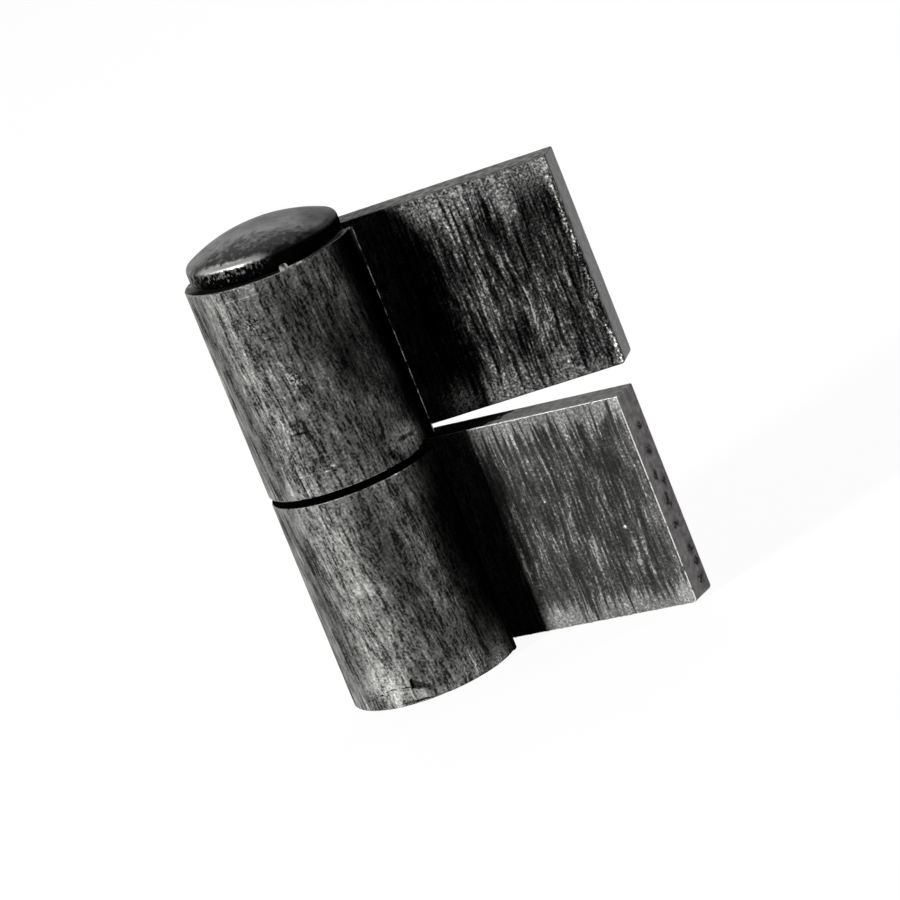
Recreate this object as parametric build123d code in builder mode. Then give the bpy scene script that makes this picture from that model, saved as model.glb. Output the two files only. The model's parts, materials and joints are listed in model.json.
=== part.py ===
from build123d import *

import os
from math import asin, cos, degrees, radians, sin

# Driving dimensions, in millimetres and degrees
plate_thickness = 4.0
pin_diameter = 12.0
pin_clearance = 0.05  # between the pin and the rolled eye, on the radius
leaf_height = 25.5  # along the pin, the same for the flat and its barrel
leaf_flat = 22.6  # from the side of the barrel to the free end of the leaf
barrel_gap = 0.8  # end play between the lower and the upper barrel
seam_gap = 3.5  # open slot between the rolled end and the front of its own leaf
low_corner_round = 0.6  # free corner at the foot of each leaf
edge_round = 0.2  # sheared edges, rolled over in tumbling
head_inset = 0.95  # edge of the pin's head inside the side of the barrel
head_side = 2.3  # height of the head's straight side
head_crown = 2.25  # rise of the dome above that side
head_shoulder_round = 0.9
head_foot_round = 0.8
pin_end_recess = 1.0  # foot of the pin above the foot of the lower barrel
pin_end_bevel = 1.2
rest_swing = 17.0  # upper leaf turned back from the lower one

# Sizes that follow
pin_radius = pin_diameter / 2
eye_radius = pin_radius + pin_clearance
barrel_radius = eye_radius + plate_thickness
leaf_reach = barrel_radius + leaf_flat
head_radius = barrel_radius - head_inset
seam_angle = degrees(asin((eye_radius - seam_gap) / barrel_radius))
roll_angle = 270 + seam_angle

# The origin is the centre of the lower leaf's weld face, so the pin stands to its left and in front
pin_x = -leaf_reach / 2
pin_y = -barrel_radius
lower_foot = -leaf_height / 2
upper_foot = lower_foot + leaf_height + barrel_gap
barrel_top = upper_foot + leaf_height
shank_length = barrel_top - lower_foot - pin_end_recess
pin_axis = Axis((pin_x, pin_y, 0), (0, 0, 1))


# A leaf is one flat bar: it runs along the back, rolls round the pin and stops short of its own front face
def rolled_leaf(foot, swing):
    turn = radians(swing)
    section = Plane(
        origin=(pin_x, pin_y, foot),
        x_dir=(cos(turn), sin(turn), 0),
        z_dir=(0, 0, 1),
    )
    along_leaf = Axis(section.origin, section.x_dir)
    across_plate = Axis(section.origin, section.y_dir)
    seam_turn = radians(seam_angle)
    with BuildPart() as leaf:
        with BuildSketch(section):
            with BuildLine():
                back = Line((leaf_reach, barrel_radius), (0, barrel_radius))
                outside = CenterArc((0, 0), barrel_radius, 90, roll_angle)
                tip = (eye_radius * cos(seam_turn), eye_radius * sin(seam_turn))
                Line(outside @ 1, tip)
                CenterArc((0, 0), eye_radius, seam_angle, -roll_angle)
                front = Line((0, eye_radius), (leaf_reach, eye_radius))
                Line(front @ 1, back @ 0)
            make_face()
        extrude(amount=leaf_height)
        low_corner = leaf.edges().filter_by(across_plate).sort_by(Axis.Z)[0]
        fillet(low_corner, low_corner_round)
        upright_edges = leaf.edges().filter_by(Axis.Z)
        end_edges = upright_edges.group_by(along_leaf)[-1]
        top_end_edge = leaf.edges().filter_by(across_plate).sort_by(Axis.Z)[-1]
        outline_edges = leaf.edges() - upright_edges - leaf.edges().filter_by(across_plate)
        fillet(outline_edges + end_edges + [top_end_edge], edge_round)
    return leaf


lower_leaf = rolled_leaf(lower_foot, 0)
upper_leaf = rolled_leaf(upper_foot, rest_swing)

# The loose pin is turned in one piece: a shank through both barrels and a domed head on the upper one
with BuildPart() as hinge_pin:
    with BuildSketch(Plane(origin=(pin_x, pin_y, barrel_top), x_dir=(1, 0, 0), z_dir=(0, -1, 0))) as half:
        with BuildLine():
            outline = Polyline(
                (0, head_side + head_crown),
                (0, -shank_length),
                (pin_radius - pin_end_bevel, -shank_length),
                (pin_radius, pin_end_bevel - shank_length),
                (pin_radius, 0),
                (head_radius, 0),
                (head_radius, head_side),
            )
            TangentArc(outline @ 0, outline @ 1, tangent=(1, 0))
        make_face()
        fillet(half.vertices().group_by(Axis.X)[-1].sort_by(Axis.Y)[-1], head_shoulder_round)
        fillet(half.vertices().group_by(Axis.X)[-1].sort_by(Axis.Y)[0], head_foot_round)
    revolve(axis=pin_axis)

lower_leaf.part.label = "lower_leaf"
upper_leaf.part.label = "upper_leaf"
hinge_pin.part.label = "hinge_pin"

os.makedirs("parts", exist_ok=True)
export_step(lower_leaf.part, "parts/lower_leaf.step")
export_step(upper_leaf.part, "parts/upper_leaf.step")
export_step(hinge_pin.part, "parts/hinge_pin.step")
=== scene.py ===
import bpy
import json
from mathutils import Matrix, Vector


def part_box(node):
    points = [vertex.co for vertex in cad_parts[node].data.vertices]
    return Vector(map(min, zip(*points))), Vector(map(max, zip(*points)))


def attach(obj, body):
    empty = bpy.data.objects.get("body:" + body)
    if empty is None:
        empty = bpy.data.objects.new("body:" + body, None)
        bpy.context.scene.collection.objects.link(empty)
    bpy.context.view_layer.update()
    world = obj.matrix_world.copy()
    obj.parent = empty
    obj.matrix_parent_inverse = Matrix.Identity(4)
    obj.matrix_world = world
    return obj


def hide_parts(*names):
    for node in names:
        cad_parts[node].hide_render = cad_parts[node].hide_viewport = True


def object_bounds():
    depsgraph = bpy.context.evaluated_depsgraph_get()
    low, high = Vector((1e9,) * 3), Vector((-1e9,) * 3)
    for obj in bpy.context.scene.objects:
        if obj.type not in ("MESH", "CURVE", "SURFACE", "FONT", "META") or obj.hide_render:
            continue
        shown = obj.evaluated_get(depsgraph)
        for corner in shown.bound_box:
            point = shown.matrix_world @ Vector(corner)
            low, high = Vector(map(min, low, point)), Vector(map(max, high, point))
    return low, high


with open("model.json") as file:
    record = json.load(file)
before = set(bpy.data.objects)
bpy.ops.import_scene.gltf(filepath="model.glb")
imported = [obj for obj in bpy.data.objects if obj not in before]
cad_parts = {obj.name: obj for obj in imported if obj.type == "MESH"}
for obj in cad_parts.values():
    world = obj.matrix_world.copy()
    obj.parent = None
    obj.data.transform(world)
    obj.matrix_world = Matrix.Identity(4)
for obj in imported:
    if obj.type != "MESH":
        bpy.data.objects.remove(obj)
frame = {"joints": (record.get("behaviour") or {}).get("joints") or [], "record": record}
cadBox = [list(corner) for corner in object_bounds()]

import bmesh
import bpy
import json
import math
from mathutils import Matrix, Vector

mm = 0.001
tiny = 0.001 * mm
squareOn = 0.9  # a normal with this much along an axis faces it
smoothAngle = math.radians(35)  # smooth shading up to here, sharp beyond
print("frame loaded, CAD box", cadBox)


def toLinear(hexText):
    channels = [int(hexText[i:i + 2], 16) / 255 for i in (1, 3, 5)]
    linear = [c / 12.92 if c <= 0.04045 else ((c + 0.055) / 1.055) ** 2.4 for c in channels]
    return (*linear, 1.0)


def addNode(tree, kind, inputs=None, **settings):
    node = tree.nodes.new("ShaderNode" + kind)
    for name, value in settings.items():
        setattr(node, name, value)
    for name, value in (inputs or {}).items():
        if isinstance(value, bpy.types.Node):
            value = next(output for output in value.outputs if output.enabled)
        if isinstance(value, bpy.types.NodeSocket):
            tree.links.new(value, node.inputs[name])
        else:
            node.inputs[name].default_value = value
    return node


def span(start, end, low=0, high=1):  # from start to end, the value goes from low to high
    return {"From Min": start, "From Max": end, "To Min": low, "To Max": high}


def newMaterial(name):
    material = bpy.data.materials.new(name)
    material.use_nodes = True
    material.node_tree.nodes.clear()
    return material, material.node_tree


def startEdit(mode):
    bpy.ops.object.mode_set(mode="EDIT")
    bpy.ops.mesh.select_mode(type=mode)
    bpy.ops.mesh.select_all(action="SELECT")


def endEdit(inside=False):
    bpy.ops.mesh.select_all(action="SELECT")
    bpy.ops.mesh.normals_make_consistent(inside=inside)
    bpy.ops.object.mode_set(mode="OBJECT")


def extrude(by):
    bpy.ops.mesh.extrude_region_move(TRANSFORM_OT_translate={"value": by})


def pickFaces(test):
    bpy.ops.mesh.select_mode(type="FACE")
    bpy.ops.mesh.select_all(action="DESELECT")
    mesh = bpy.context.edit_object.data
    shape = bmesh.from_edit_mesh(mesh)
    for face in shape.faces:
        face.select_set(test(face.calc_center_median(), face.normal))
    bmesh.update_edit_mesh(mesh)


def paintPicked(index):
    mesh = bpy.context.edit_object.data
    for face in bmesh.from_edit_mesh(mesh).faces:
        if face.select:
            face.material_index = index


def pickEdges(test):
    bpy.ops.mesh.select_mode(type="EDGE")
    bpy.ops.mesh.select_all(action="DESELECT")
    mesh = bpy.context.edit_object.data
    shape = bmesh.from_edit_mesh(mesh)
    for edge in shape.edges:
        a, b = edge.verts
        edge.select_set(test(a.co, b.co))
    bmesh.update_edit_mesh(mesh)


def direction(azimuth, elevation):  # azimuth 0 faces the front of the lower leaf
    a, e = math.radians(azimuth), math.radians(elevation)
    return Vector((math.sin(a) * math.cos(e), -math.cos(a) * math.cos(e), math.sin(e)))


# The leaves: flat bar rolled round the pin
pinX, pinY = frame["joints"][0]["pos_m"][:2]
lowerLow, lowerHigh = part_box("lower_leaf")
upperLow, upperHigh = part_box("upper_leaf")
pinLow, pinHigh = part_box("hinge_pin")
doorAxis = frame["record"]["mounts"][1]["axis"]

leafShape = {
    "plate": 4 * mm,
    "seamGap": 3.5 * mm,
    "lowCorner": 0.6 * mm,
    "cornerSteps": 8,
    "edgeRound": 0.2 * mm,
    "edgeSteps": 4,
    "sharp": math.radians(50),  # edges beyond this are rounded
    "sectionLines": (0.25, 0.5, 0.75, 0.88),  # shares of the plate, from the eye outwards
    "rollSteps": 144,
    "cell": 0.45 * mm,
    "barrelRadius": pinX - lowerLow.x,
    "reach": lowerHigh.x - pinX,
    "swing": math.atan2(-doorAxis[0], doorAxis[1]),
    "rimTurn": math.radians(40),  # where the rub on the barrels' rims ends
    "footLift": 0.01 * mm,  # keeps the uneven foot inside the CAD
    "waves": {"size": 2.4 * mm, "depth": 0.04 * mm},
}
footKnocks = {  # flats knocked on the foot of each barrel, by azimuth, tilt below level and depth
    "lower": [
        {"azimuth": -58, "tilt": 28, "depth": 0.2 * mm},
        {"azimuth": -58, "tilt": 50, "depth": 0.27 * mm},
        {"azimuth": -58, "tilt": 70, "depth": 0.2 * mm},
    ],
    # the upper barrel's flats take the crevice slot: painted shade at the groove, as black
    "upper": [
        {"azimuth": 100, "tilt": 40, "depth": 0.45 * mm},
        {"azimuth": 88, "tilt": 55, "depth": 0.25 * mm},
    ],
}
footMarks = [  # creases and a torn notch in the lower barrel, by azimuth and mm above its foot, painted black as painted shade
    {"corners": ((-30, 0.7), (-30, 0.78), (4, 2.4), (4, 2.3)), "depth": 0.1 * mm},
    {"corners": ((4, 2.3), (4, 2.4), (18, 2.1), (18, 2.0)), "depth": 0.1 * mm},
    {"corners": ((-6, 0.42), (-6, 0.5), (27, 0.34), (27, 0.24)), "depth": 0.1 * mm},
    {"corners": ((18.5, 3.05), (17, 1.85), (34, 1.1)), "depth": 0.3 * mm},
]
markZone = {"skin": 0.25 * mm, "height": 4 * mm, "facing": 0.6}  # where those marks may cut
rimBurr = {  # ragged lip left on the top rim of the upper barrel, with a nub at its end
    "start": 41, "end": 112, "rise": 0.2 * mm, "depth": 0.1 * mm, "nubTurn": 6.5,
    "nubSteps": ((0.25 * mm, 0.95), (0.2 * mm, 0.75), (0.08 * mm, 0.5)),  # rise and taper of each step
}
endRidges = {  # shear burr along the rolled ends, by azimuth
    "lower": {"turn": 103.2, "width": 0.4 * mm, "rise": 0.22 * mm},
    "upper": {"turn": 121, "width": 0.14 * mm, "rise": 0.1 * mm},
}
ridgeZone = {"skin": 0.3 * mm, "reach": 1 * mm}  # where those ridges may rise
faceSort = {  # slopes and depths by which a leaf's faces are told apart
    "square": 0.97, "slant": 0.2, "front": 0.1, "endDepth": 0.15 * mm, "grooveDepth": 0.3 * mm,
}
# a leaf's material slots
rolledFace, barEdge, shearedEnd, rubbedCornerPaintedLight, blackCrevice, brightBurr = range(6)


def rolledLeaf(name, foot, top):
    s = leafShape
    outer = s["barrelRadius"]
    inner = outer - s["plate"]
    middle, height = (foot + top) / 2, top - foot
    roll = math.radians(270) + math.asin((inner - s["seamGap"]) / outer)
    bpy.ops.object.select_all(action="DESELECT")
    bpy.ops.mesh.primitive_plane_add(
        size=1, location=(0, outer - s["plate"] / 2, middle), rotation=(0, math.radians(90), 0))
    leaf = bpy.context.object
    leaf.name = name
    leaf.scale = (height, s["plate"], 1)
    bpy.ops.object.transform_apply(location=True, rotation=True, scale=True)
    startEdit("FACE")
    for share in s["sectionLines"]:
        bpy.ops.mesh.select_all(action="SELECT")
        bpy.ops.mesh.bisect(plane_co=(0, inner + s["plate"] * share, 0), plane_no=(0, 1, 0))
    bpy.ops.mesh.select_all(action="SELECT")
    bpy.ops.mesh.spin(steps=s["rollSteps"], angle=roll, center=(0, 0, 0), axis=(0, 0, -1))
    pickFaces(lambda c, n: abs(c.x) < tiny and c.y > inner and abs(n.x) > squareOn)
    extrude((s["reach"], 0, 0))
    bpy.ops.mesh.select_all(action="SELECT")
    bpy.ops.mesh.normals_make_consistent(inside=False)
    end = s["reach"] - tiny
    pickEdges(lambda a, b: min(a.x, b.x) > end and max(a.z, b.z) < foot + tiny)
    bpy.ops.mesh.bevel(offset=s["lowCorner"], segments=s["cornerSteps"], affect="EDGES")
    bpy.ops.mesh.select_mode(type="EDGE")
    bpy.ops.mesh.select_all(action="DESELECT")
    bpy.ops.mesh.edges_select_sharp(sharpness=s["sharp"])
    mesh = leaf.data
    shape = bmesh.from_edit_mesh(mesh)
    for edge in shape.edges:  # the rolled end keeps its square cut
        a, b = edge.verts
        if abs(a.co.z - b.co.z) > height / 2 and a.co.x < outer:
            edge.select_set(False)
    bmesh.update_edit_mesh(mesh)
    bpy.ops.mesh.bevel(offset=s["edgeRound"], segments=s["edgeSteps"], affect="EDGES")
    rows = round(height / s["cell"])
    for row in range(1, rows):
        bpy.ops.mesh.select_all(action="SELECT")
        bpy.ops.mesh.bisect(plane_co=(0, 0, foot + height * row / rows), plane_no=(0, 0, 1))
    columns = round(s["reach"] / s["cell"])
    for column in range(1, columns):
        pickFaces(lambda c, n: c.x > 0 and c.y > inner - tiny)
        bpy.ops.mesh.bisect(plane_co=(s["reach"] * column / columns, 0, 0), plane_no=(1, 0, 0))
    endEdit()
    print(name, "rolled")
    return leaf


def knockFoot(leaf, foot, knocks, swing, index):
    outer = leafShape["barrelRadius"]
    bpy.ops.object.mode_set(mode="EDIT")
    for knock in knocks:
        turn = knock["azimuth"] - math.degrees(swing)
        away = direction(turn, -knock["tilt"])
        side = direction(turn, 0) * outer
        corner = Vector((side.x, side.y, foot))
        pickFaces(lambda c, n: c.y < outer - leafShape["plate"] - tiny)  # the barrel without its leaf
        bpy.ops.mesh.bisect(plane_co=corner - away * knock["depth"], plane_no=away, clear_outer=True)
        bpy.ops.mesh.select_mode(type="EDGE")
        bpy.ops.mesh.select_all(action="DESELECT")
        bpy.ops.mesh.select_non_manifold()
        bpy.ops.mesh.fill()
        paintPicked(index)
    endEdit()
    print(leaf.name, "foot knocked")


def pressMarks(leaf, foot):
    outer, zone = leafShape["barrelRadius"], markZone
    bpy.ops.object.mode_set(mode="EDIT")
    for mark in footMarks:
        corners = [
            direction(turn, 0) * outer + Vector((0, 0, foot + rise * mm))
            for turn, rise in mark["corners"]]
        middle = sum(corners, Vector()) / len(corners)
        inwards = Vector((-middle.x, -middle.y, 0)).normalized()
        sides = []
        for start, end in zip(corners, corners[1:] + corners[:1]):
            away = (end - start).cross(inwards).normalized()
            sides.append((start, away if away.dot(middle - start) < 0 else -away))

        def onSide(c):
            low = c.to_2d().length > outer - zone["skin"] and c.z < foot + zone["height"]
            return low and c.dot(inwards) < -zone["facing"] * outer

        for start, away in sides:
            pickFaces(lambda c, n: onSide(c))
            bpy.ops.mesh.bisect(plane_co=start, plane_no=away)
        pickFaces(lambda c, n: onSide(c) and all((c - start).dot(away) < 0 for start, away in sides))
        extrude(inwards * mark["depth"])
        paintPicked(blackCrevice)
    bpy.ops.object.mode_set(mode="OBJECT")
    print(leaf.name, "foot marked")


def raiseRidge(leaf, ridge, swing, index):
    outer, zone = leafShape["barrelRadius"], ridgeZone
    turn = ridge["turn"] - math.degrees(swing)
    out, along = direction(turn, 0), direction(turn + 90, 0)
    half = ridge["width"] / 2

    def onSide(c):
        near = abs(c.to_2d().length - outer) < zone["skin"] and abs(c.dot(along)) < zone["reach"]
        return near and c.dot(out) > 0

    bpy.ops.object.mode_set(mode="EDIT")
    for side in (-half, half):
        pickFaces(lambda c, n: onSide(c))
        bpy.ops.mesh.bisect(plane_co=along * side, plane_no=along)
    pickFaces(lambda c, n: onSide(c) and abs(c.dot(along)) < half)
    extrude(out * ridge["rise"])
    pickFaces(lambda c, n: onSide(c) and abs(c.dot(along)) < half + tiny)
    paintPicked(index)
    bpy.ops.object.mode_set(mode="OBJECT")
    print(leaf.name, "ridge raised")


def raiseBurr(leaf, top, swing):
    s, b = leafShape, rimBurr
    ring = s["barrelRadius"] - s["plate"] * (1 - s["sectionLines"][-1])

    def onRim(c, n, start, end):
        turn = math.degrees(math.atan2(c.x, -c.y) + swing)
        onTop = n.z > squareOn and c.z > top - b["depth"]
        return onTop and c.to_2d().length > ring and start < turn < end

    bpy.ops.object.mode_set(mode="EDIT")
    pickFaces(lambda c, n: onRim(c, n, b["start"], b["end"]))
    extrude((0, 0, b["rise"]))
    pickFaces(lambda c, n: onRim(c, n, b["start"], b["start"] + b["nubTurn"]))
    nubTurn = b["start"] + b["nubTurn"] / 2 - math.degrees(swing)
    nub = direction(nubTurn, 0) * (ring + s["barrelRadius"]) / 2
    for rise, taper in b["nubSteps"]:
        extrude((0, 0, rise))
        bpy.ops.transform.resize(value=(taper, taper, 1), center_override=nub)
    bpy.ops.object.mode_set(mode="OBJECT")
    print(leaf.name, "rim burr raised")


def wearSurface(piece, waves):  # shallow unevenness, only ever inwards
    clouds = bpy.data.textures.new(piece.name + "_unevenness", "CLOUDS")
    clouds.noise_scale = waves["size"]
    clouds.noise_depth = 2
    bpy.ops.object.modifier_add(type="DISPLACE")
    uneven = piece.modifiers[-1]
    uneven.texture = clouds
    uneven.texture_coords = "LOCAL"
    uneven.strength = waves["depth"]
    uneven.mid_level = 1
    bpy.ops.object.modifier_apply(modifier=uneven.name)


def settle(piece, swing):  # from the pin's own axis to its place in the frame
    piece.rotation_euler = (0, 0, swing)
    piece.location = (pinX, pinY, 0)
    bpy.ops.object.transform_apply(location=True, rotation=True, scale=True)
    bpy.ops.object.shade_smooth_by_angle(angle=smoothAngle)
    print(piece.name, "settled,", len(piece.data.polygons), "faces")


def sortLeafFaces(leaf, foot, groove):
    s, sort = leafShape, faceSort
    for face in leaf.data.polygons:
        n, c = face.normal, face.center
        inCorner = c.x > s["reach"] - s["lowCorner"] and c.z < foot + s["lowCorner"]
        inCorner = inCorner and abs(n.y) < sort["slant"]
        onEnd = abs(n.x) if c.x > s["reach"] - sort["endDepth"] else 0
        inGroove = abs(c.z - groove) < sort["grooveDepth"] and c.to_2d().length < s["barrelRadius"]
        if onEnd > sort["square"] or inCorner:
            face.material_index = shearedEnd
        elif abs(n.z) > sort["square"]:
            # the groove between the barrels takes the crevice slot: unrubbed scale and painted shade
            face.material_index = blackCrevice if inGroove else barEdge
        elif max(abs(n.z), onEnd) > sort["slant"]:
            onBarrel = c.x < s["barrelRadius"] and c.y < s["barrelRadius"] - s["plate"]
            if onBarrel:
                face.material_index = brightBurr if math.atan2(c.x, -c.y) < s["rimTurn"] else rolledFace
            elif n.y < -sort["front"]:
                face.material_index = rubbedCornerPaintedLight
            else:
                face.material_index = barEdge if abs(n.z) > onEnd else shearedEnd


lowerFoot = lowerLow.z + leafShape["footLift"]
lowerPiece = rolledLeaf("lower_leaf_steel", lowerFoot, lowerHigh.z)
sortLeafFaces(lowerPiece, lowerFoot, lowerHigh.z)
knockFoot(lowerPiece, lowerFoot, footKnocks["lower"], 0, rolledFace)
pressMarks(lowerPiece, lowerFoot)
raiseRidge(lowerPiece, endRidges["lower"], 0, rolledFace)
wearSurface(lowerPiece, leafShape["waves"])
settle(lowerPiece, 0)
upperPiece = rolledLeaf("upper_leaf_steel", upperLow.z, upperHigh.z)
sortLeafFaces(upperPiece, upperLow.z, upperLow.z)
knockFoot(upperPiece, upperLow.z, footKnocks["upper"], leafShape["swing"], blackCrevice)
raiseBurr(upperPiece, upperHigh.z, leafShape["swing"])
raiseRidge(upperPiece, endRidges["upper"], leafShape["swing"], brightBurr)
wearSurface(upperPiece, leafShape["waves"])
settle(upperPiece, leafShape["swing"])

# The loose pin: shank, head side, shoulder and dome, grown ring by ring
pinShape = {
    "radius": 6 * mm,
    "endBevel": 1.2 * mm,
    "headRadius": pinHigh.x - pinX,
    "headSide": 2.3 * mm,
    "shoulderRound": 0.9 * mm,
    "footRound": 0.8 * mm,
    "sides": 192,
    "arcSteps": 8,
    "domeSteps": 30,
    "shankSteps": 24,
    "waves": {"size": 3.5 * mm, "depth": 0.05 * mm},
}


def domedPin():
    s = pinShape
    foot, seat, crown = pinLow.z, upperHigh.z, pinHigh.z
    edge, rise = s["headRadius"], crown - seat - s["headSide"]
    sphere = (edge ** 2 + rise ** 2) / (2 * rise)  # radius of the dome
    centre = crown - sphere
    shoulder = s["shoulderRound"]
    # centre of the shoulder's arc: inside both the side and the dome
    inset = edge - shoulder
    lift = centre + math.sqrt((sphere - shoulder) ** 2 - inset ** 2)
    lean = math.atan2(lift - centre, inset)  # where that arc meets the dome
    shankFoot = foot + s["endBevel"]
    rings = [(s["radius"], shankFoot)]
    for step in range(1, s["shankSteps"] + 1):
        rings.append((s["radius"], shankFoot + (seat - shankFoot) * step / s["shankSteps"]))
    rings.append((edge - s["footRound"], seat))
    for step in range(1, s["arcSteps"] + 1):
        turn = math.radians(90) * step / s["arcSteps"]
        rings.append((
            edge - s["footRound"] * (1 - math.sin(turn)),
            seat + s["footRound"] * (1 - math.cos(turn))))
    rings.append((edge, lift))
    for step in range(1, s["arcSteps"] + 1):
        turn = lean * step / s["arcSteps"]
        rings.append((inset + shoulder * math.cos(turn), lift + shoulder * math.sin(turn)))
    for step in range(1, s["domeSteps"]):
        turn = lean + (math.radians(90) - lean) * step / s["domeSteps"]
        rings.append((sphere * math.cos(turn), centre + sphere * math.sin(turn)))
    bpy.ops.object.select_all(action="DESELECT")
    bpy.ops.mesh.primitive_circle_add(
        vertices=s["sides"], radius=s["radius"] - s["endBevel"], fill_type="NGON", location=(0, 0, foot))
    pin = bpy.context.object
    pin.name = "hinge_pin_steel"
    bpy.ops.object.transform_apply(location=True, rotation=True, scale=True)
    startEdit("FACE")
    radius, height = s["radius"] - s["endBevel"], foot
    for newRadius, newHeight in rings:
        extrude((0, 0, newHeight - height))
        grow = newRadius / radius
        bpy.ops.transform.resize(value=(grow, grow, 1), center_override=(0, 0, 0))
        radius, height = newRadius, newHeight
    extrude((0, 0, crown - height))
    bpy.ops.mesh.merge(type="CENTER")
    endEdit()
    return pin


pinPiece = domedPin()
wearSurface(pinPiece, pinShape["waves"])
settle(pinPiece, 0)

# Marks in the steel are placed in the bar's own mm: x along the leaf from the pin's axis, z up the pin
noiseSpread = 0.075  # how far a fine noise strays from its middle once it is drawn


def barMillimetres(tree, swing):
    place = addNode(tree, "TexCoord")
    pin = Matrix.Rotation(-swing, 3, "Z") @ Vector((-pinX, -pinY, 0)) / mm
    return addNode(tree, "Mapping", {
        "Vector": place.outputs["Object"], "Location": pin, "Rotation": (0, 0, -swing),
        "Scale": (1 / mm, 1 / mm, 1 / mm)})


def noiseLayer(tree, place, size, detail=1):  # size in mm; the noise counts in spreads from its middle
    stretched = addNode(tree, "VectorMath", {0: place, 1: size}, operation="DIVIDE")
    noise = addNode(tree, "TexNoise", {"Vector": stretched, "Scale": 1, "Detail": detail})
    return addNode(tree, "Math", {
        0: noise, 1: 1 / noiseSpread, 2: -0.5 / noiseSpread}, operation="MULTIPLY_ADD")


def roundMark(tree, place, at, size):  # 1 in the middle of the mark, 0 at its edge
    off = addNode(tree, "VectorMath", {0: place, 1: at}, operation="SUBTRACT")
    off = addNode(tree, "VectorMath", {0: off, 1: size}, operation="DIVIDE")
    off = addNode(tree, "VectorMath", {0: off}, operation="LENGTH")
    return addNode(tree, "MapRange", {"Value": off, **span(1, 0)}, interpolation_type="SMOOTHSTEP")


# Hot-rolled steel: black mill scale, rubbed through to dull grey in fine streaks along the pin; some
# marks below are painted shadow, shade or light, each noted where it stands
scaleLook = {
    "leaf": {  # layers of the pattern: size in mm, drawn a little wide so that it shows, and weight
        "longStreak": ((0.42, 0.42, 9.0), 0.6),
        "shortStreak": ((0.26, 0.26, 1.5), 0.35),
        "grain": ((0.27, 0.27, 0.27), 0.45),
        "patch": ((2.4, 2.4, 4.0), 0.25),
    },
    "barrel": {
        "longStreak": ((0.5, 0.5, 8.0), 0.35),
        "pits": ((0.27, 0.27, 1.3), 0.5),
        "grain": ((0.28, 0.28, 0.28), 0.45),
        "patch": ((1.6, 1.6, 3.0), 0.3),
    },
    "sway": ((5.0, 5.0, 10.0), 1.2),  # size of the streaks' slow sway and its reach, in mm
    "fringe": 0.7,  # mm by which streaks reach out of the lighter bands
    "lean": 5,  # degrees by which the barrel's marks lean from the pin
    "smooth": {"at": (-44, 13.0), "size": (9.5, 9.5, 90.0), "share": -0.78},  # few pits, little grain
    "barrelEnds": (7.5, 12.5),  # mm from the pin's axis, from the barrel's pattern to the leaf's
    "backReach": 1.5,  # how far round the back the leaf's pattern goes
    "rampMiddle": 0.5,
    "rampSpread": 0.18,
    "roughness": span(-1.5, 1.5, 0.66, 0.5),  # smoother where rubbed
    "bumpHeight": 0.02,  # mm
    "bumpStrength": 0.4,
}
greySteps = (-1.65, -0.67, 0, 0.67, 1.65, 2.8)  # where the greys stand, in spreads, from scale to steel
tall = 60.0  # mm, for marks that run up the whole barrel
lowerScale = {
    "leafGreys": ("#303030", "#3d3d3c", "#464645", "#525251", "#6a6a68", "#aaaaa7"),
    "barrelGreys": ("#2e2e2e", "#585857", "#70706e", "#7f7f7d", "#949491", "#bcbcb8"),
    "leafBands": {  # mm from the edge, full and none, gain in doublings, calm
        "top": (1.3, 3.2, 1.75, 0.7), "foot": (1.3, 3.4, 1.85, 0.7),
        "end": (0.0, 3.4, 0.85, 0.3),
    },
    "barrelBands": {"top": (0.2, 1.6, 0.3, 0.5), "foot": (0.2, 1.2, 0.3, 0.0)},
    "leafMarks": [  # mm along the leaf and up, size in mm, gain in doublings, speckle, calm
        {"at": (17.8, 9.0), "size": (2.6, 3.0, 4.5), "gain": 0.8},
        {"at": (14.4, -11.0), "size": (5.0, 3.0, 3.6), "gain": 0.55, "calm": 0.8},
        # painted shade: the soft edge of the barrel's cast shadow
        {"at": (13.5, 2.5), "size": (1.8, 3.0, 15.0), "gain": -2.2},
        # painted shadow: the barrel's cast shadow on the leaf, also unrubbed scale in the corner
        {"at": (8.0, 0), "size": (5.0, 3.0, tall), "gain": -3.5},
        {"at": (26.5, 8.0), "size": (3.5, 3.0, 3.0), "gain": -0.5},
        {"at": (21.0, 6.2), "size": (0.22, 0.6, 0.22), "gain": 3.0},
        {"at": (18.5, 2.5), "size": (0.2, 0.6, 0.24), "gain": 3.0},
        {"at": (21.4, 1.4), "size": (0.2, 0.6, 0.2), "gain": 3.0},
        {"at": (27.4, -2.3), "size": (0.4, 0.6, 0.46), "gain": 5.0},
    ],
    "barrelMarks": [  # azimuth and mm up, width and height in mm
        {"at": (-45, 0), "size": (4.4, tall), "gain": 0.35},
        {"at": (-22, 1.0), "size": (2.8, 12.0), "gain": -0.7},
        {"at": (5, 0), "size": (4.6, tall), "gain": 0.45},
        {"at": (37, 4.0), "size": (3.2, 15.0), "gain": -1.5},
        {"at": (55, 9.0), "size": (3.0, 5.0), "gain": -0.7},
        {"at": (62, -2.0), "size": (3.4, tall), "gain": 0.8},
        {"at": (60, -12.0), "size": (5.0, 4.5), "gain": 1.4},
        {"at": (1, -9.8), "size": (5.0, 6.0), "gain": 1.2, "calm": 0.5},
        # painted shade over the torn notch
        {"at": (25, -9.3), "size": (2.0, 1.8), "gain": -0.9},
        {"at": (9, 8.0), "size": (1.8, 4.0), "gain": 0.4},
        {"at": (-31, 7.0), "size": (0.5, 4.0), "gain": 0.7},
        # painted shade: the flank beside the leaf, dark as in shadow, also unrubbed scale
        {"at": (100, 0), "size": (5.2, tall), "gain": -4.0},
        # painted light: bounce from the floor on the foot of that flank
        {"at": (92, -12.5), "size": (6.0, 7.0), "gain": 4.8, "calm": 0.4},
        {"at": (61, 12.75), "size": (0.45, 0.2), "gain": 4.0},
    ],
}
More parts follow.
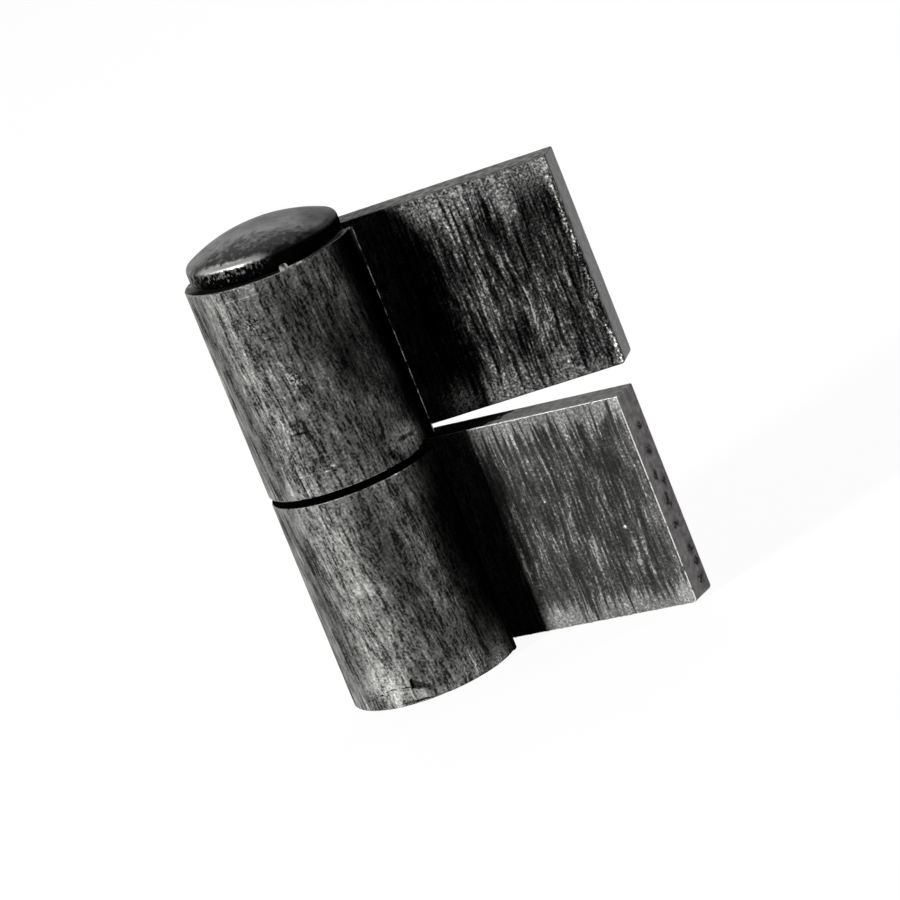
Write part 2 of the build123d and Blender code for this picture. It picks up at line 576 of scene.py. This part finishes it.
upperScale = {
    "leafGreys": ("#060606", "#1c1c1c", "#2d2d2d", "#40403f", "#5c5c5a", "#b0b0ac"),
    "barrelGreys": ("#1e1e1e", "#474746", "#5c5c5b", "#696967", "#7a7a78", "#a8a8a4"),
    "leafBands": {
        "top": (2.0, 6.0, 2.5, 0.8), "foot": (1.2, 4.6, 1.9, 0.7), "end": (0.3, 1.2, 0.9, 0.0),
    },
    "barrelBands": {"top": (0.2, 2.4, 0.45, 0.3), "foot": (0.4, 2.6, 0.7, 0.3)},
    "leafMarks": [
        # painted shadow: the barrel's cast shadow on the leaf, also unrubbed scale in the corner
        {"at": (9.5, 26.0), "size": (6.5, 3.0, tall), "gain": -3.0},
        {"at": (19.5, 33.0), "size": (3.0, 3.0, 6.0), "gain": 0.5},
        {"at": (17.8, 15.5), "size": (3.5, 3.0, 4.0), "gain": 0.8},
        # painted light: the foot of that shadowed corner lit up
        {"at": (12.5, 15.0), "size": (5.5, 3.0, 4.5), "gain": 4.5},
        {"at": (23.5, 32.0), "size": (2.2, 3.0, 5.0), "gain": -0.7},
        {"at": (29.6, 34.5), "size": (3.4, 3.0, 6.0), "gain": -1.5},
        {"at": (27.0, 30.0), "size": (3.0, 3.0, 3.0), "gain": -0.5},
        {"at": (32.2, 24.0), "size": (0.9, 3.0, 16.0), "gain": 0.8, "speckle": 0.5},
    ],
    "barrelMarks": [
        {"at": (-44, 26.0), "size": (4.2, tall), "gain": 1.05},
        {"at": (-23, 24.0), "size": (2.8, 14.0), "gain": 0.1},
        {"at": (-4, 26.0), "size": (3.4, tall), "gain": 0.95},
        {"at": (16, 20.0), "size": (3.4, 14.0), "gain": 0.3},
        {"at": (36, 34.0), "size": (3.4, 10.0), "gain": -0.9},
        {"at": (60, 28.0), "size": (3.6, 8.0), "gain": -2.2},
        {"at": (72, 36.0), "size": (2.8, 5.0), "gain": 0.8},
        {"at": (70, 18.0), "size": (3.0, 7.0), "gain": 0.8},
        {"at": (84, 16.0), "size": (4.8, 2.6), "gain": 2.6, "calm": 0.9},
        {"at": (61, 17.3), "size": (0.4, 0.7), "gain": -4.0},
        {"at": (76, 15.9), "size": (1.2, 0.45), "gain": -4.0},
        {"at": (84, 15.8), "size": (0.8, 0.4), "gain": -4.0},
        {"at": (65, 14.7), "size": (0.7, 0.9), "gain": -3.0, "speckle": 1.2},
        # painted shade: the flank beside the leaf, dark as in shadow, also unrubbed scale
        {"at": (105, 27.0), "size": (5.0, tall), "gain": -6.0},
        {"at": (100, 37.0), "size": (4.2, 6.0), "gain": -3.0},
        {"at": (11, 34.5), "size": (1.3, 1.1), "gain": 0.2, "speckle": 1.0},
        {"at": (23, 27.1), "size": (1.4, 1.5), "gain": 0.5, "speckle": 1.0},
        {"at": (8, 37.7), "size": (4.4, 0.16), "gain": 1.2},
        {"at": (4, 16.2), "size": (2.4, 0.16), "gain": 1.3},
        {"at": (20, 16.1), "size": (0.6, 0.2), "gain": 2.6},
        {"at": (25, 16.5), "size": (0.5, 0.32), "gain": 2.6},
        {"at": (17, 32.4), "size": (1.0, 0.16), "gain": -2.0},
        {"at": (13, 21.1), "size": (1.4, 0.24), "gain": -4.0},
    ],
}


def millScaleAndPaintedLight(name, swing, look, foot, top):
    s = scaleLook
    outer = leafShape["barrelRadius"] / mm
    twist = math.tan(math.radians(s["lean"])) / outer  # radians for each mm up the pin
    material, tree = newMaterial(name)
    bar = barMillimetres(tree, swing)
    axes = addNode(tree, "SeparateXYZ", {"Vector": bar}).outputs
    turn = addNode(tree, "Math", {0: axes["Z"], 1: twist}, operation="MULTIPLY")
    leaning = addNode(tree, "VectorRotate", {"Vector": bar, "Angle": turn}, rotation_type="Z_AXIS")
    smoothTurn, smoothUp = s["smooth"]["at"]
    smooth = direction(smoothTurn - math.degrees(swing), 0) * outer + Vector((0, 0, smoothUp))
    crowd = addNode(tree, "Math", {
        0: roundMark(tree, bar, smooth, s["smooth"]["size"]), 1: s["smooth"]["share"], 2: 1.0},
        operation="MULTIPLY_ADD")
    alongBar = addNode(tree, "Math", {
        0: axes["Y"], 1: s["backReach"], 2: axes["X"]}, operation="MULTIPLY_ADD")
    front = outer - leafShape["plate"] / mm
    barrelEnd, leafStart = [end + s["backReach"] * front for end in s["barrelEnds"]]
    onLeaf = addNode(tree, "MapRange", {"Value": alongBar, **span(barrelEnd, leafStart)})
    rubbed, colours = {}, {}
    for zone, place in (("leaf", bar), ("barrel", leaning)):
        size, reach = s["sway"]
        sway = addNode(tree, "VectorMath", {0: place, 1: size}, operation="DIVIDE")
        sway = addNode(tree, "TexNoise", {"Vector": sway, "Scale": 1, "Detail": 1}).outputs["Color"]
        swaying = addNode(tree, "VectorMath", {
            0: sway, 1: (reach, reach, 0), 2: place}, operation="MULTIPLY_ADD")
        layers = {layer: noiseLayer(tree, swaying, size) for layer, (size, weight) in s[zone].items()}
        if zone == "barrel":
            for layer in ("pits", "grain"):
                layers[layer] = addNode(tree, "Math", {0: layers[layer], 1: crowd}, operation="MULTIPLY")
        ragged = addNode(tree, "Math", {0: layers["longStreak"], 1: s["fringe"]}, operation="MULTIPLY")
        fromEdge = {
            "top": addNode(tree, "Math", {0: top / mm, 1: axes["Z"]}, operation="SUBTRACT"),
            "foot": addNode(tree, "Math", {0: axes["Z"], 1: foot / mm}, operation="SUBTRACT"),
            "end": addNode(tree, "Math", {
                0: leafShape["reach"] / mm, 1: axes["X"]}, operation="SUBTRACT"),
        }
        for edge in ("top", "foot"):
            fromEdge[edge] = addNode(tree, "Math", {0: fromEdge[edge], 1: ragged}, operation="SUBTRACT")
        stops, speckle, streaky = 0.0, 0.0, 1.0  # doublings of light, more speckle, share of streaks
        for edge, (full, none, gain, calm) in look[zone + "Bands"].items():
            band = addNode(tree, "MapRange", {
                "Value": fromEdge[edge], **span(none, full)}, interpolation_type="SMOOTHSTEP")
            stops = addNode(tree, "Math", {0: band, 1: gain, 2: stops}, operation="MULTIPLY_ADD")
            streaky = addNode(tree, "Math", {0: band, 1: -calm, 2: streaky}, operation="MULTIPLY_ADD")
        for mark in look[zone + "Marks"]:
            along, up = mark["at"]
            if zone == "leaf":
                at, size = (along, front, up), mark["size"]
            else:
                leant = along + math.degrees(up * twist - swing)
                at = direction(leant, 0) * outer + Vector((0, 0, up))
                width, height = mark["size"]
                size = (width, width, height)
            shape = roundMark(tree, place, at, size)
            stops = addNode(tree, "Math", {
                0: shape, 1: mark["gain"], 2: stops}, operation="MULTIPLY_ADD")
            if "calm" in mark:
                streaky = addNode(tree, "Math", {
                    0: shape, 1: -mark["calm"], 2: streaky}, operation="MULTIPLY_ADD")
            if "speckle" in mark:
                speckle = addNode(tree, "Math", {
                    0: shape, 1: mark["speckle"], 2: speckle}, operation="MULTIPLY_ADD")
        streaks = 0.0
        for layer, (size, weight) in s[zone].items():
            if layer != "grain":
                streaks = addNode(tree, "Math", {
                    0: layers[layer], 1: weight, 2: streaks}, operation="MULTIPLY_ADD")
        speckle = addNode(tree, "Math", {0: speckle, 1: s[zone]["grain"][1]}, operation="ADD")
        total = addNode(tree, "Math", {0: streaks, 1: streaky}, operation="MULTIPLY")
        total = addNode(tree, "Math", {
            0: layers["grain"], 1: speckle, 2: total}, operation="MULTIPLY_ADD")
        rubbed[zone] = total
        ramp = addNode(tree, "ValToRGB", {"Fac": addNode(tree, "Math", {
            0: total, 1: s["rampSpread"], 2: s["rampMiddle"]}, operation="MULTIPLY_ADD")})
        greys = ramp.color_ramp.elements
        while len(greys) < len(greySteps):
            greys.new(s["rampMiddle"])
        for grey, step, tint in zip(greys, greySteps, look[zone + "Greys"]):
            grey.position = s["rampMiddle"] + step * s["rampSpread"]
            grey.color = toLinear(tint)
        tone = addNode(tree, "Math", {0: 2.0, 1: stops}, operation="POWER")
        colours[zone] = addNode(tree, "VectorMath", {0: ramp, "Scale": tone}, operation="SCALE")
    steel = addNode(tree, "Mix", {
        "Factor": onLeaf, "A": colours["barrel"], "B": colours["leaf"]}, data_type="RGBA")
    worn = addNode(tree, "Mix", {"Factor": onLeaf, "A": rubbed["barrel"], "B": rubbed["leaf"]})
    roughness = addNode(tree, "MapRange", {"Value": worn, **s["roughness"]})
    bump = addNode(tree, "Bump", {
        "Height": worn, "Strength": s["bumpStrength"], "Distance": s["bumpHeight"] * mm})
    shader = addNode(tree, "BsdfPrincipled", {
        "Base Color": steel, "Roughness": roughness, "Specular IOR Level": 0, "Normal": bump})
    addNode(tree, "OutputMaterial", {"Surface": shader})
    return material


# Bare steel of the cut faces: smooth mid grey, dull on the bar's edges and pitted on its sheared ends,
# with painted shadow on the bar's edges
bareLook = {
    "bar edge": {
        "lower": ("#7e7e7c", "#a8a8a6"), "upper": ("#3a3a39", "#8e8e8c"),
        "roughness": 0.5, "specular": 0.1, "darkGrey": "#050505",
    },
    "sheared end": {
        "lower": ("#4c4848", "#94908f"), "upper": ("#4a4a49", "#707070"),
        "roughness": 0.4, "specular": 0.3, "darkGrey": "#1c1515",
    },
    "cloud": ((0.8, 0.8, 0.8), 3),  # size in mm and detail
    "cloudSpan": span(-2, 2),
    "frontFade": {"share": 0.8, "slope": -0.7, "shift": 5.5},  # paler beside the front edge
    "rag": ((0.4, 0.4, 0.4), 2),
    "ragShare": 0.45,
    "pitSpan": span(0.05, 0.85, 0, 0.95),
    "pits": [  # on the lower leaf's end: mm from the pin's axis and up, size in mm
        {"at": (8.3, 8.2), "size": (0.5, 0.8, 0.9)},
        {"at": (8.3, 5.4), "size": (0.5, 1.1, 1.2)},
        {"at": (7.7, 2.3), "size": (0.5, 0.7, 1.1)},
        {"at": (8.8, 1.2), "size": (0.5, 0.8, 1.0)},
        {"at": (8.1, -1.0), "size": (0.5, 1.1, 1.7)},
        {"at": (7.9, -3.7), "size": (0.5, 1.1, 0.9)},
        {"at": (8.9, -7.2), "size": (0.5, 1.1, 1.2)},
        {"at": (9.0, -8.8), "size": (0.5, 1.0, 0.9)},
        {"at": (8.7, -10.8), "size": (0.5, 1.3, 1.1)},
    ],
    # painted shadow on the bar's edges, as black: in front of the pin's head, and under the upper leaf;
    # mm
    "headShadow": {
        "turn": 15, "rag": 0.7, "span": span(3.6, 5.8),
        "rim": span(9.9, 9.8),
    },
    "stripShadow": {"slope": (1, -0.5, 0), "rag": 0.3, "span": span(12.9, 11.3)},
}


def bareSteel(kind, label, swing):
    s, b = bareLook[kind], bareLook
    material, tree = newMaterial(f"{kind}, {label} leaf")
    bar = barMillimetres(tree, swing)
    cloud = noiseLayer(tree, bar, *b["cloud"])
    tone = cloud
    if kind == "sheared end":
        fade = b["frontFade"]
        across = addNode(tree, "VectorMath", {0: bar, 1: (0, fade["slope"], 0)}, operation="DOT_PRODUCT")
        tone = addNode(tree, "Math", {0: tone, 1: fade["share"], 2: across}, operation="MULTIPLY_ADD")
        tone = addNode(tree, "Math", {0: tone, 1: fade["shift"]}, operation="ADD")
    tone = addNode(tree, "MapRange", {"Value": tone, **b["cloudSpan"]})
    grey = addNode(tree, "Mix", {
        "Factor": tone, "A": toLinear(s[label][0]), "B": toLinear(s[label][1])}, data_type="RGBA")
    dark = 0.0  # share of pits, or of painted shadow on the bar's edges
    if (kind, label) == ("sheared end", "lower"):
        for pit in b["pits"]:
            at = (leafShape["reach"] / mm, *pit["at"])
            dark = addNode(tree, "Math", {
                0: roundMark(tree, bar, at, pit["size"]), 1: dark}, operation="MAXIMUM")
        rag = addNode(tree, "Math", {
            0: noiseLayer(tree, bar, *b["rag"]), 1: b["ragShare"], 2: 1.0}, operation="MULTIPLY_ADD")
        dark = addNode(tree, "Math", {0: rag, 1: dark}, operation="MULTIPLY")
        dark = addNode(tree, "MapRange", {"Value": dark, **b["pitSpan"]})
    if (kind, label) == ("bar edge", "upper"):
        head = b["headShadow"]
        front = direction(head["turn"] - math.degrees(swing), 0)
        front = addNode(tree, "VectorMath", {0: bar, 1: front}, operation="DOT_PRODUCT")
        front = addNode(tree, "Math", {0: cloud, 1: head["rag"], 2: front}, operation="MULTIPLY_ADD")
        dark = addNode(tree, "MapRange", {"Value": front, **head["span"]})
        level = addNode(tree, "VectorMath", {0: bar, 1: (1, 1, 0)}, operation="MULTIPLY")
        radius = addNode(tree, "VectorMath", {0: level}, operation="LENGTH")
        inside = addNode(tree, "MapRange", {"Value": radius, **head["rim"]})
        dark = addNode(tree, "Math", {0: inside, 1: dark}, operation="MULTIPLY")
    if (kind, label) == ("bar edge", "lower"):
        strip = b["stripShadow"]
        along = addNode(tree, "VectorMath", {0: bar, 1: strip["slope"]}, operation="DOT_PRODUCT")
        along = addNode(tree, "Math", {0: cloud, 1: strip["rag"], 2: along}, operation="MULTIPLY_ADD")
        dark = addNode(tree, "MapRange", {"Value": along, **strip["span"]})
    colour = addNode(tree, "Mix", {
        "Factor": dark, "A": grey, "B": toLinear(s["darkGrey"])}, data_type="RGBA")
    roughness = addNode(tree, "MapRange", {"Value": dark, **span(0, 1, s["roughness"])})
    shader = addNode(tree, "BsdfPrincipled", {
        "Base Color": colour, "Roughness": roughness, "Specular IOR Level": s["specular"]})
    addNode(tree, "OutputMaterial", {"Surface": shader})
    return material


# Crevices: unrubbed scale, dull black, out of reach of any wear, and painted shade in the same places:
# the creases and notch at the lower barrel's foot, the groove between the barrels and the upper barrel's
# knocked flats
creviceLook = {
    "greys": ("#141414", "#404040"),  # in the foot's marks
    "grooveGrey": "#040404",  # painted shade between the barrels, darkest
    "flecks": (0.3, 0.3, 0.3),  # mm
    "fleckSpan": span(-2, 2),
    "grooveSpan": span(0, 5),  # mm up the pin
    "roughness": 0.8, "specular": 0.01,
}


def creviceScaleAndShade(label, swing):
    s = creviceLook
    material, tree = newMaterial(f"scale in crevices, {label} leaf")
    bar = barMillimetres(tree, swing)
    flecks = addNode(tree, "MapRange", {"Value": noiseLayer(tree, bar, s["flecks"]), **s["fleckSpan"]})
    colour = addNode(tree, "Mix", {
        "Factor": flecks, "A": toLinear(s["greys"][0]), "B": toLinear(s["greys"][1])}, data_type="RGBA")
    height = addNode(tree, "SeparateXYZ", {"Vector": bar}).outputs["Z"]
    groove = addNode(tree, "MapRange", {"Value": height, **s["grooveSpan"]})
    colour = addNode(tree, "Mix", {
        "Factor": groove, "A": colour, "B": toLinear(s["grooveGrey"])}, data_type="RGBA")
    shader = addNode(tree, "BsdfPrincipled", {
        "Base Color": colour, "Roughness": s["roughness"], "Specular IOR Level": s["specular"]})
    addNode(tree, "OutputMaterial", {"Surface": shader})
    return material


# Rubbed edge: rounded corners polished by handling, a thin broken line where they face the light; on the
# lower leaf the near white grey is also a painted highlight, on the upper leaf the darker grey painted
# shade
rubbedAndPaintedLightLook = {
    # lower: rubbing and a painted highlight; upper: rubbing and painted shade
    "lower": {"greys": ("#7a7a79", "#f0f0ec"), "span": span(-2.6, -0.4)},
    "upper": {"greys": ("#444444", "#747472"), "span": span(-1.2, 1.8)},
    "burr": {"greys": ("#3a3a3a", "#b4b4b0"), "span": span(-2.0, 1.0)},
    "cloud": ((0.6, 0.6, 0.9), 2),  # size in mm and detail
    "metal": 0.8, "roughness": 0.5, "specular": 0.05,
}


def rubbedEdgeAndPaintedLight(label, swing):
    s, look = rubbedAndPaintedLightLook[label], rubbedAndPaintedLightLook
    material, tree = newMaterial(f"rubbed steel and painted light, {label} edge")
    bar = barMillimetres(tree, swing)
    share = addNode(tree, "MapRange", {"Value": noiseLayer(tree, bar, *look["cloud"]), **s["span"]})
    grey = addNode(tree, "Mix", {
        "Factor": share, "A": toLinear(s["greys"][0]), "B": toLinear(s["greys"][1])}, data_type="RGBA")
    metal = addNode(tree, "Math", {0: share, 1: look["metal"]}, operation="MULTIPLY")
    shader = addNode(tree, "BsdfPrincipled", {
        "Base Color": grey, "Metallic": metal, "Roughness": look["roughness"],
        "Specular IOR Level": look["specular"]})
    addNode(tree, "OutputMaterial", {"Surface": shader})
    return material


# Forged steel: the pin's head, satin grey on the dome, black scale below, rubbed bright at the shoulder;
# the dome's far end, the side away from the key light and the head's foot carry painted shade, and the
# shoulder's rub a painted highlight
forgedLook = {
    "domeGreys": ("#5e5e5e", "#888887"),
    "scaleAndShadeGrey": "#060606",
    "mottleGrey": "#0e0e0e",
    "bareGrey": "#8a8a87",
    "brightGrey": "#e0e0dd",
    "shadeTurn": 95,  # azimuth of the painted shade on the dome's far end, away from the key light
    "rubHighlightTurn": 5,  # azimuth of the rub on the shoulder, also a painted highlight where the key light reflects
    "mottleTurn": 22,  # azimuth of the mottled scale above that rub
    "scaleAndShadeTurn": 60,  # azimuth of the black scale on the side, also painted shade on the side away from the key light
    "sideTop": 2.0,  # mm above the seat
    "seatDepth": 0.01,  # mm below it, where the shank starts
    "cloud": ((2.0, 2.0, 2.0), 3),  # size in mm and detail
    "cloudSpan": span(-2.5, 2.5),
    "mottle": ((1.5, 1.5, 1.5), 2),
    "mottleShare": 0.5,
    "mottleReach": span(0.3, 0.7, -2.6, 2.3),  # in head radii
    "mottleSpan": span(-1.2, 2.2, 0, 0.95),
    "fringe": ((0.6, 0.6, 0.6), 4),
    "fringeShare": 0.7,  # on the mottled scale
    "fringeLift": 0.06,  # mm, on heights
    "fringeTurn": 0.08,  # in head radii, on the side's black scale
    "shadeReach": span(0.6, 1.1, 0, 0.4),  # in head radii
    "scaleAndShadeReach": span(-0.3, 0.15),
    "scaleAndShadeTop": span(2.8, 1.7),  # mm above the seat
    # painted shade round the head's foot, also black scale
    "footScaleAndShade": span(0.7, 0.3),
    "speckle": (0.28, 0.28, 0.45),
    "speckleRise": span(0.7, 2.0, -3.0, 0.4),
    "speckleSpan": span(-1.0, 2.4, 0, 0.8),
    "rubHighlightReach": span(0.8, 0.99),  # in head radii
    "rubHighlightHeight": 2.3,  # mm above the seat
    "rubHighlightSpan": span(0.4, 0.15),
    "rubRoughness": 0.3, "rubMetal": 0.7,
    "specular": {"dome": 0.08, "side": 0.0},
    "roughness": span(0, 1, 0.42, 0.75),  # from bare steel to black scale and painted shade
}


def forgedSteel(name, specular):
    s = forgedLook
    edge = pinShape["headRadius"] / mm
    material, tree = newMaterial(name)
    bar = barMillimetres(tree, 0)
    height = addNode(tree, "Math", {
        0: addNode(tree, "SeparateXYZ", {"Vector": bar}).outputs["Z"], 1: upperHigh.z / mm},
        operation="SUBTRACT")
    speckle = noiseLayer(tree, bar, s["speckle"])
    fringe = noiseLayer(tree, bar, *s["fringe"])
    mottle = noiseLayer(tree, bar, *s["mottle"])
    towards = {}
    for side in ("shadeTurn", "rubHighlightTurn", "mottleTurn", "scaleAndShadeTurn"):
        towards[side] = addNode(tree, "VectorMath", {
            0: bar, 1: direction(s[side], 0) / edge}, operation="DOT_PRODUCT")
    cloud = addNode(tree, "MapRange", {"Value": noiseLayer(tree, bar, *s["cloud"]), **s["cloudSpan"]})
    colour = addNode(tree, "Mix", {
        "Factor": cloud, "A": toLinear(s["domeGreys"][0]), "B": toLinear(s["domeGreys"][1])},
        data_type="RGBA")
    # mottled scale over the front of the dome, with a ragged fringe
    mottled = addNode(tree, "MapRange", {"Value": towards["mottleTurn"], **s["mottleReach"]})
    mottled = addNode(tree, "Math", {
        0: mottle, 1: s["mottleShare"], 2: mottled}, operation="MULTIPLY_ADD")
    mottled = addNode(tree, "Math", {
        0: fringe, 1: s["fringeShare"], 2: mottled}, operation="MULTIPLY_ADD")
    mottled = addNode(tree, "MapRange", {"Value": mottled, **s["mottleSpan"]})
    # black scale on the side and round its foot, also painted shade there, and painted shade on the
    # dome's far end
    shaded = addNode(tree, "MapRange", {"Value": towards["shadeTurn"], **s["shadeReach"]})
    ragged = addNode(tree, "Math", {0: fringe, 1: s["fringeLift"], 2: height}, operation="MULTIPLY_ADD")
    below = addNode(tree, "MapRange", {"Value": ragged, **s["scaleAndShadeTop"]})
    kept = addNode(tree, "Math", {
        0: fringe, 1: s["fringeTurn"], 2: towards["scaleAndShadeTurn"]}, operation="MULTIPLY_ADD")
    kept = addNode(tree, "MapRange", {"Value": kept, **s["scaleAndShadeReach"]})
    low = addNode(tree, "MapRange", {"Value": ragged, **s["footScaleAndShade"]})
    kept = addNode(tree, "Math", {0: kept, 1: low}, operation="MAXIMUM")
    black = addNode(tree, "Math", {0: below, 1: kept}, operation="MULTIPLY")
    black = addNode(tree, "Math", {0: shaded, 1: black}, operation="MAXIMUM")
    # bare steel: specks on the side, a bright rub along the shoulder that is also a painted highlight
    near = addNode(tree, "MapRange", {
        "Value": towards["rubHighlightTurn"], **s["rubHighlightReach"]}, interpolation_type="SMOOTHSTEP")
    upper = addNode(tree, "MapRange", {"Value": height, **s["speckleRise"]})
    specks = addNode(tree, "Math", {0: speckle, 1: upper}, operation="ADD")
    specks = addNode(tree, "MapRange", {"Value": specks, **s["speckleSpan"]})
    specks = addNode(tree, "Math", {0: specks, 1: near}, operation="MULTIPLY")
    specks = addNode(tree, "Math", {0: specks, 1: below}, operation="MULTIPLY")
    offRubHighlight = addNode(tree, "Math", {0: ragged, 1: s["rubHighlightHeight"]}, operation="SUBTRACT")
    offRubHighlight = addNode(tree, "Math", {0: offRubHighlight}, operation="ABSOLUTE")
    rubHighlight = addNode(tree, "MapRange", {"Value": offRubHighlight, **s["rubHighlightSpan"]})
    rubHighlight = addNode(tree, "Math", {0: rubHighlight, 1: near}, operation="MULTIPLY")
    for share, tint in (
            (mottled, "mottleGrey"), (black, "scaleAndShadeGrey"), (specks, "bareGrey"), (rubHighlight, "brightGrey")):
        colour = addNode(tree, "Mix", {
            "Factor": share, "A": colour, "B": toLinear(s[tint])}, data_type="RGBA")
    roughness = addNode(tree, "MapRange", {"Value": black, **s["roughness"]})
    roughness = addNode(tree, "Mix", {"Factor": rubHighlight, "A": roughness, "B": s["rubRoughness"]})
    metal = addNode(tree, "Math", {0: rubHighlight, 1: s["rubMetal"]}, operation="MULTIPLY")
    shader = addNode(tree, "BsdfPrincipled", {
        "Base Color": colour, "Metallic": metal, "Roughness": roughness, "Specular IOR Level": specular})
    addNode(tree, "OutputMaterial", {"Surface": shader})
    return material


# Drawn bar: the pin's shank, smooth grey streaked along its length and dulled by old grease
shankLook = {
    "greys": ("#333332", "#7d7d7b"),
    "layers": (  # size in mm and weight
        ((0.5, 0.5, 7.0), 0.7), ((0.3, 0.3, 0.3), 0.3), ((2.5, 2.5, 3.0), 0.5)),
    "span": span(-2, 2),
    "roughness": 0.45, "specular": 0.25,
}


def drawnShank():
    s = shankLook
    material, tree = newMaterial("drawn steel shank")
    bar = barMillimetres(tree, 0)
    total = 0.0
    for size, weight in s["layers"]:
        total = addNode(tree, "Math", {
            0: noiseLayer(tree, bar, size), 1: weight, 2: total}, operation="MULTIPLY_ADD")
    share = addNode(tree, "MapRange", {"Value": total, **s["span"]})
    grey = addNode(tree, "Mix", {
        "Factor": share, "A": toLinear(s["greys"][0]), "B": toLinear(s["greys"][1])}, data_type="RGBA")
    shader = addNode(tree, "BsdfPrincipled", {
        "Base Color": grey, "Roughness": s["roughness"], "Specular IOR Level": s["specular"]})
    addNode(tree, "OutputMaterial", {"Surface": shader})
    return material


for piece, label, swing, look, foot, top in (
        (lowerPiece, "lower", 0, lowerScale, lowerLow.z, lowerHigh.z),
        (upperPiece, "upper", leafShape["swing"], upperScale, upperLow.z, upperHigh.z)):
    for steel in (  # in the order of a leaf's material slots
            millScaleAndPaintedLight(f"mill scale, {label} leaf", swing, look, foot, top),
            bareSteel("bar edge", label, swing), bareSteel("sheared end", label, swing),
            rubbedEdgeAndPaintedLight(label, swing), creviceScaleAndShade(label, swing), rubbedEdgeAndPaintedLight("burr", swing)):
        piece.data.materials.append(steel)
for zone, specular in forgedLook["specular"].items():
    pinPiece.data.materials.append(forgedSteel(f"forged steel {zone}", specular))
pinPiece.data.materials.append(drawnShank())
for face in pinPiece.data.polygons:  # slot 0 for the dome, 1 for the head's side, 2 for the shank
    onSide = face.center.z < upperHigh.z + forgedLook["sideTop"] * mm
    onShank = face.center.z < upperHigh.z - forgedLook["seatDepth"] * mm
    face.material_index = onSide + onShank
print("steels mixed")

for piece, node, slot in (
        (lowerPiece, "lower_leaf", "leaf_steel"),
        (upperPiece, "upper_leaf", "leaf_steel"),
        (pinPiece, "hinge_pin", "pin_steel")):
    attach(piece, node)
    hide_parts(node)

# Pale floor that curves up all round
floorShape = {
    "radius": 1.1, "sides": 128, "coveRadius": 0.22, "coveSteps": 10, "wall": 0.12,
    "paperGrey": "#565656", "glow": 0.94,  # grey for the light it throws back, near white to the eye
}


def paleFloor():
    s = floorShape
    bpy.ops.object.select_all(action="DESELECT")
    bpy.ops.mesh.primitive_circle_add(
        vertices=s["sides"], radius=s["radius"], fill_type="NGON", location=(0, 0, lowerLow.z))
    floor = bpy.context.object
    floor.name = "pale_floor"
    startEdit("EDGE")
    radius, height = s["radius"], 0
    for step in range(1, s["coveSteps"] + 1):
        turn = math.radians(90) * step / s["coveSteps"]
        newRadius = s["radius"] + s["coveRadius"] * math.sin(turn)
        newHeight = s["coveRadius"] * (1 - math.cos(turn))
        bpy.ops.mesh.extrude_edges_move(
            TRANSFORM_OT_translate={"value": (0, 0, newHeight - height)})
        grow = newRadius / radius
        bpy.ops.transform.resize(value=(grow, grow, 1), center_override=(0, 0, 0))
        radius, height = newRadius, newHeight
    bpy.ops.mesh.extrude_edges_move(TRANSFORM_OT_translate={"value": (0, 0, s["wall"])})
    endEdit(inside=True)
    bpy.ops.object.transform_apply(location=True, rotation=True, scale=True)
    bpy.ops.object.shade_smooth_by_angle(angle=smoothAngle)
    material, tree = newMaterial("white paper sweep")
    rays = addNode(tree, "LightPath")
    seen = addNode(tree, "Math", {
        0: rays.outputs["Is Camera Ray"], 1: rays.outputs["Is Glossy Ray"]}, operation="MAXIMUM")
    seen = addNode(tree, "Math", {
        0: seen, 1: rays.outputs["Is Transmission Ray"]}, operation="MAXIMUM")
    glow = addNode(tree, "Math", {0: seen, 1: s["glow"]}, operation="MULTIPLY")
    paper = addNode(tree, "BsdfDiffuse", {"Color": toLinear(s["paperGrey"])})
    light = addNode(tree, "Emission", {"Strength": glow})
    both = addNode(tree, "AddShader", {0: paper, 1: light})
    addNode(tree, "OutputMaterial", {"Surface": both})
    floor.data.materials.append(material)
    print("floor laid")


paleFloor()

# Lights and world
lamps = {
    "key_softbox": {"azimuth": -20, "elevation": 19, "distance": 0.8, "size": 0.12, "watts": 7.0},
    "side_softbox": {"azimuth": 130, "elevation": 15, "distance": 0.8, "size": 0.2, "watts": 2.6},
    "back_softbox": {"azimuth": -145, "elevation": 45, "distance": 0.8, "size": 0.5, "watts": 2.0},
}
worldLight = 0.004
lookAt = (Vector(cadBox[0]) + Vector(cadBox[1])) / 2


def hangLamps():
    for name, s in lamps.items():
        away = direction(s["azimuth"], s["elevation"])
        bpy.ops.object.light_add(type="AREA", location=lookAt + away * s["distance"])
        lamp = bpy.context.object
        lamp.name = name
        lamp.rotation_euler = away.to_track_quat("Z", "Y").to_euler()
        lamp.data.size = s["size"]
        lamp.data.energy = s["watts"]
    world = bpy.data.worlds.new("dim studio")
    bpy.context.scene.world = world
    world.use_nodes = True
    background = world.node_tree.nodes["Background"].inputs
    background["Color"].default_value = (1, 1, 1, 1)
    background["Strength"].default_value = worldLight
    print("lamps hung")


hangLamps()

# Camera, held at the photograph's angle with its lean
cameraView = {
    "aim": Vector((-5.301, -6.737, 11.645)) * mm,
    "azimuth": 35.313,
    "elevation": 13.587,
    "lean": -21.957,
    "distance": 608.85 * mm,
    "lens": 216.824,
    "clipStart": 0.01,
}


def setCamera():
    s = cameraView
    back = direction(s["azimuth"], s["elevation"])
    level = Vector((0, 0, 1)).cross(back).normalized()
    upright = back.cross(level)
    lean = math.radians(s["lean"])
    right = level * math.cos(lean) + upright * math.sin(lean)
    up = back.cross(right)
    place = s["aim"] + back * s["distance"]
    bpy.ops.object.camera_add()
    camera = bpy.context.object
    camera.data.lens = s["lens"]
    camera.data.clip_start = s["clipStart"]
    turn = Matrix((right, up, back)).transposed().to_4x4()
    camera.matrix_world = Matrix.Translation(place) @ turn
    bpy.context.scene.camera = camera
    bpy.context.scene.view_settings.view_transform = "Standard"
    print("camera set")


setCamera()
